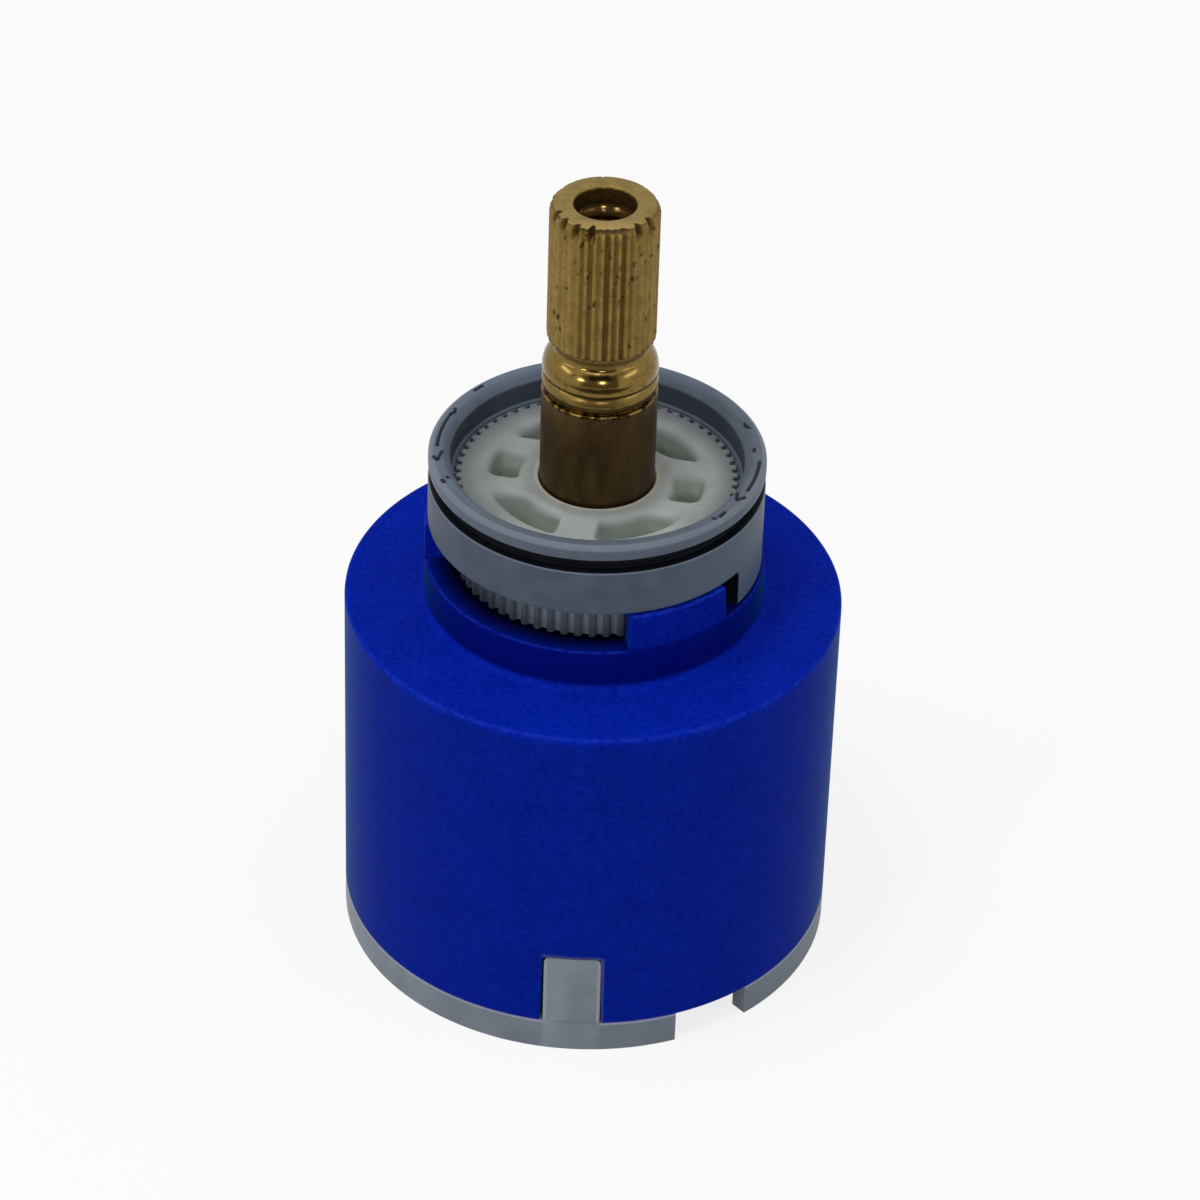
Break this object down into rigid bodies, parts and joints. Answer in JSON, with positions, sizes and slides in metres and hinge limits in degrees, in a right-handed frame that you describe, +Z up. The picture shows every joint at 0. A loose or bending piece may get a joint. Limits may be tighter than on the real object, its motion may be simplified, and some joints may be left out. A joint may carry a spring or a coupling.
{
  "type": "ceramic disc tap cartridge",
  "caption": "Rotary ceramic disc mixing cartridge with a blue housing, splined brass spindle and a toothed adjustable temperature stop.",
  "frame": {"origin": "on the spindle axis, at the underside of the base rim", "axes": "+Z up the spindle axis towards the splined end, -Y to the front, where the picture's view comes from"},
  "size_m": [0.035, 0.035, 0.0594],
  "materials": {
    "housing_plastic": "satin moulded",
    "base_plastic": "satin moulded",
    "hub_plastic": "satin moulded",
    "ring_plastic": "satin moulded",
    "spindle_brass": "turned",
    "disc_ceramic": "lapped",
    "seal_rubber": "matt"
  },
  "bodies": {
    "housing": {"housing": "housing_plastic", "base": "base_plastic", "disc_gasket": "seal_rubber", "cold_port_seal": "seal_rubber", "hot_port_seal": "seal_rubber", "outlet_port_seal": "seal_rubber", "noise_screen": "base_plastic", "fixed_disc": "disc_ceramic"},
    "spindle": {"spindle": "spindle_brass", "limit_hub": "hub_plastic", "spindle_o_ring_lower": "seal_rubber", "spindle_o_ring_upper": "seal_rubber", "thrust_washer": "base_plastic", "disc_carrier": "base_plastic", "carrier_seal": "seal_rubber", "moving_disc": "disc_ceramic"},
    "limit_ring": {"limit_ring": "ring_plastic"}
  },
  "joints": [
    {"name": "spindle_turn", "type": "hinge", "parent": "housing", "child": "spindle", "pos_m": [0, 0, 0.0277], "axis": [0, 0, 1], "range_deg": [-7, 115]},
    {"name": "limit_ring_lift", "type": "slide", "parent": "spindle", "child": "limit_ring", "axis": [0, 0, 1], "range_m": [0, 0.004]}
  ]
}
